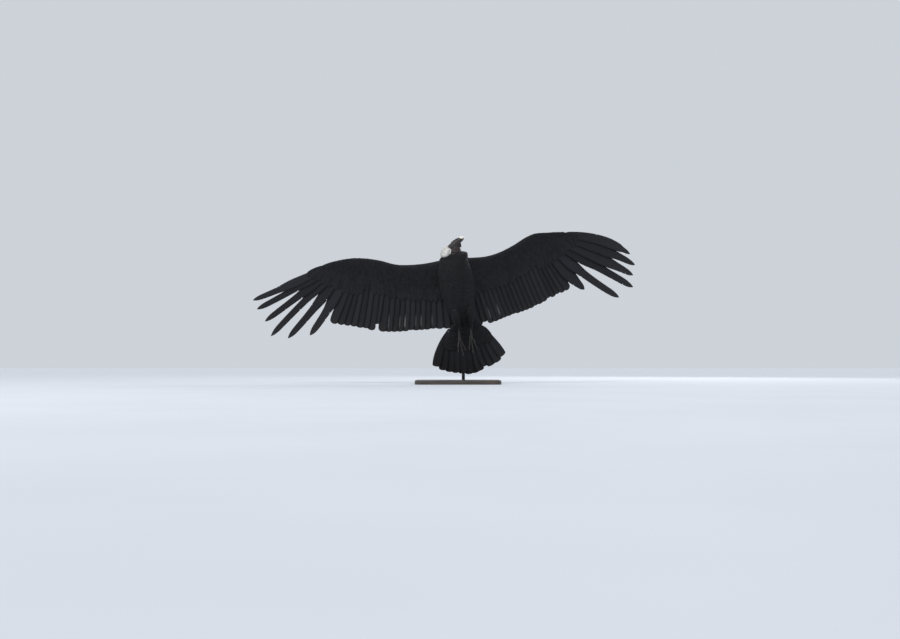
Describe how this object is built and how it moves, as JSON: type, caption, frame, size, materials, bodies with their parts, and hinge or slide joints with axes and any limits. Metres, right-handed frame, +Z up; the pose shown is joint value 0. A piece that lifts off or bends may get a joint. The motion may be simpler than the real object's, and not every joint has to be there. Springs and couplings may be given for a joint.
{
  "type": "andean condor display model",
  "caption": "Life-size soaring condor with spread fingered wings, fanned tail and downy ruff, held by a flat base, an upright rod and a short arm.",
  "frame": {"origin": "middle of the flat underside of the stand's base, on the floor", "axes": "+Z up, +X along the wingspan towards the bird's left wing, +Y from the belly side to the back"},
  "size_m": [2.9773, 0.8651, 1.1594],
  "materials": {
    "plumage": "black flight and body feathers with a faint blue sheen",
    "down": "soft white downy feathers of the ruff",
    "skin": "bare dark grey skin with fine folds, reddish at the throat",
    "caruncle": "dark fleshy comb and wattle",
    "bill": "ivory horn, dark towards its base",
    "eye": "glossy brown eye",
    "foot": "dark grey scaled skin with black claws",
    "base_board": "satin dark stained board",
    "rod": "dark satin steel"
  },
  "bodies": {
    "root": {"torso": "plumage", "neck": "skin", "ruff": "down", "head": "skin", "eye_left": "eye", "eye_right": "eye", "bill_upper": "bill", "bill_lower": "bill", "comb": "caruncle", "wattle": "caruncle", "wing_right_upper": "plumage", "wing_right_forearm": "plumage", "wing_right_hand": "plumage", "wing_left_upper": "plumage", "wing_left_forearm": "plumage", "wing_left_hand": "plumage", "tail": "plumage", "thigh_left": "plumage", "thigh_right": "plumage", "shank_left": "foot", "shank_right": "foot", "foot_left": "foot", "foot_right": "foot", "stand_base": "base_board", "stand_post": "rod", "stand_knuckle": "rod", "stand_arm": "rod"}
  },
  "joints": []
}
